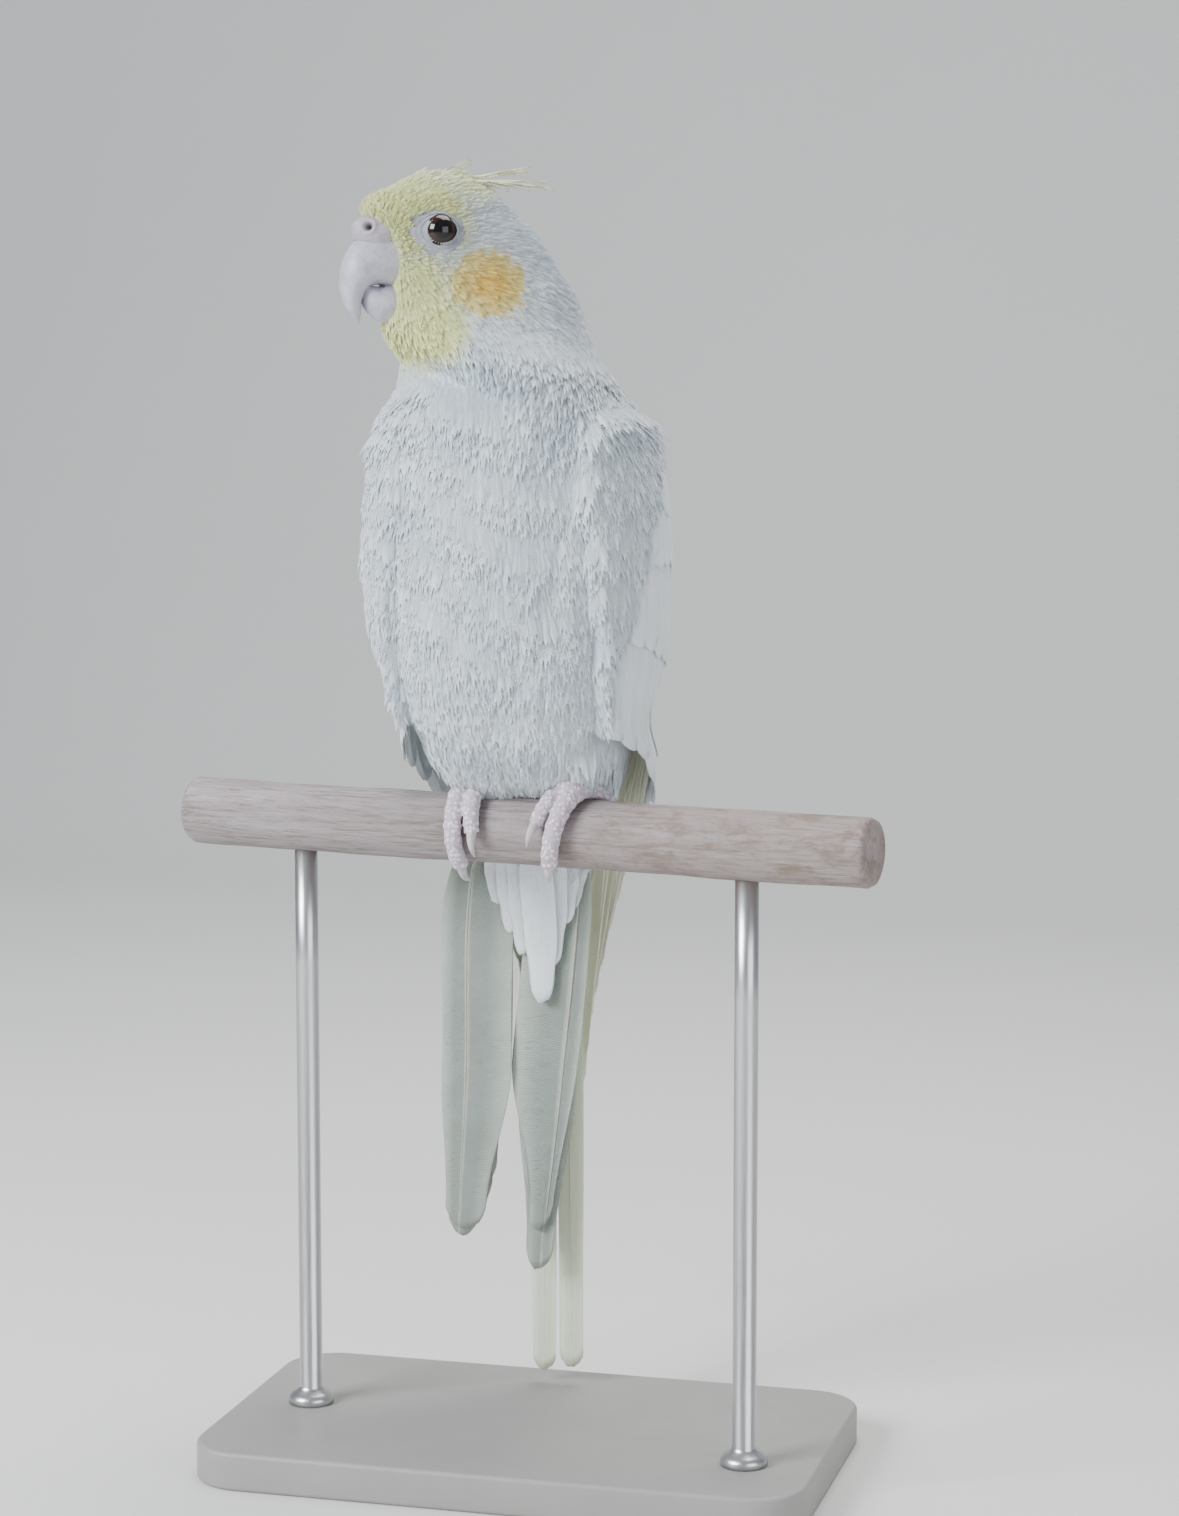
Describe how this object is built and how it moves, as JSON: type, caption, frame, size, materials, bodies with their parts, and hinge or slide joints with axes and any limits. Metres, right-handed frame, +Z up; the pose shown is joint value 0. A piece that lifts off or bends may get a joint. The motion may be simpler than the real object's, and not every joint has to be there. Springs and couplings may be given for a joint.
{
  "type": "cockatiel display model",
  "caption": "Life-size cockatiel with folded wings, laid-back crest and long hanging tail, gripping a short round perch held by a plain display stand.",
  "frame": {"origin": "centre of the underside of the stand's base", "axes": "+Z up; the bird's breast faces -Y and its left side is +X; the perch runs along X, turned a little"},
  "size_m": [0.1902, 0.092, 0.3341],
  "materials": {
    "white_feather": "soft matt white body feathers with a cool tint",
    "yellow_feather": "soft matt pale yellow feathers with an orange cheek patch",
    "wing_feather": "smooth white flight feathers, pale yellow at the primaries",
    "tail_feather": "smooth cream-white tail feathers with lighter shafts",
    "bill": "pale grey horn with a slight sheen",
    "cere": "soft pinkish grey bare skin",
    "eye": "glossy dark red-brown",
    "foot": "pinkish grey scaled skin",
    "claw": "grey horn with a slight sheen",
    "perch": "weathered grey-beige bare wood",
    "stand_rod": "satin steel",
    "stand_base": "satin warm grey paint"
  },
  "bodies": {
    "root": {"head": "yellow_feather", "neck": "white_feather", "torso": "white_feather", "crest": "yellow_feather", "cere": "cere", "bill_upper": "bill", "bill_lower": "bill", "eye_left": "eye", "eye_right": "eye", "wing_left": "wing_feather", "wing_right": "wing_feather", "tail": "tail_feather", "thigh_left": "white_feather", "thigh_right": "white_feather", "foot_left": "foot", "foot_right": "foot", "claw_left_1": "claw", "claw_left_2": "claw", "claw_left_3": "claw", "claw_left_4": "claw", "claw_right_1": "claw", "claw_right_2": "claw", "claw_right_3": "claw", "claw_right_4": "claw", "perch": "perch", "stand_rod_left": "stand_rod", "stand_rod_right": "stand_rod", "stand_base": "stand_base"}
  },
  "joints": []
}
